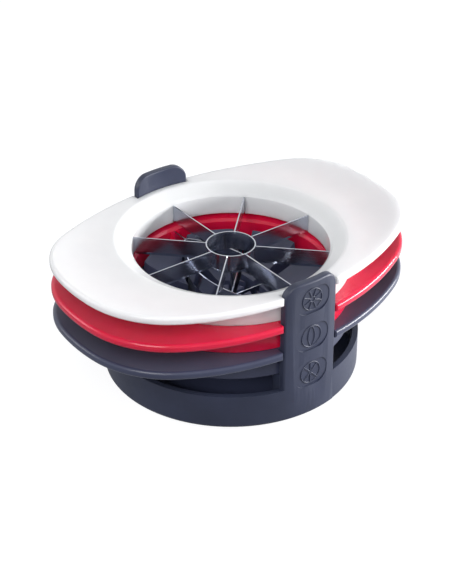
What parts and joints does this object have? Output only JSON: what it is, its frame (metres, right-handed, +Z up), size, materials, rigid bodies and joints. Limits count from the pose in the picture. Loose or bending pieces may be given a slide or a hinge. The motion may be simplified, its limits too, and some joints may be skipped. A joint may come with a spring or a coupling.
{
  "type": "stacked fruit divider set",
  "caption": "Winged apple, mango and wedge dividers stacked on a round press base with two guide tabs and a slotted, dished press block that pushes the fruit right through the blades.",
  "frame": {"origin": "centre of the footprint, on the plane that the feet stand on", "axes": "+Z up, +X along the wings, -Y towards the guide tab with the three marks"},
  "size_m": [0.1834, 0.129, 0.081],
  "materials": {
    "base_slate": "fine satin moulded",
    "wedge_slate": "fine satin moulded",
    "mango_red": "satin gloss moulded",
    "apple_white": "satin gloss moulded",
    "blade_steel": "ground and polished stainless",
    "foot_rubber": "matte"
  },
  "bodies": {
    "base": {"base_stand": "base_slate", "press_block": "base_slate", "rubber_feet": "foot_rubber"},
    "wedge_divider": {"wedge_frame": "wedge_slate", "wedge_clamp_ring": "wedge_slate", "wedge_cross_blade_a": "blade_steel", "wedge_cross_blade_b": "blade_steel", "wedge_blade_1": "blade_steel", "wedge_blade_2": "blade_steel", "wedge_blade_3": "blade_steel", "wedge_blade_4": "blade_steel"},
    "mango_divider": {"mango_frame": "mango_red", "mango_clamp_ring": "mango_red", "mango_stone_ring": "blade_steel", "mango_blade_front": "blade_steel", "mango_blade_rear": "blade_steel"},
    "apple_divider": {"apple_frame": "apple_white", "apple_clamp_ring": "apple_white", "apple_core_ring": "blade_steel", "apple_blade_1": "blade_steel", "apple_blade_2": "blade_steel", "apple_blade_3": "blade_steel", "apple_blade_4": "blade_steel", "apple_blade_5": "blade_steel", "apple_blade_6": "blade_steel", "apple_blade_7": "blade_steel", "apple_blade_8": "blade_steel"}
  },
  "joints": [
    {"name": "wedge_lift", "type": "slide", "parent": "base", "child": "wedge_divider", "axis": [0, 0, 1], "range_m": [0, 0.06]},
    {"name": "mango_lift", "type": "slide", "parent": "wedge_divider", "child": "mango_divider", "axis": [0, 0, 1], "range_m": [0, 0.045]},
    {"name": "apple_lift", "type": "slide", "parent": "mango_divider", "child": "apple_divider", "axis": [0, 0, 1], "range_m": [0, 0.03]}
  ]
}
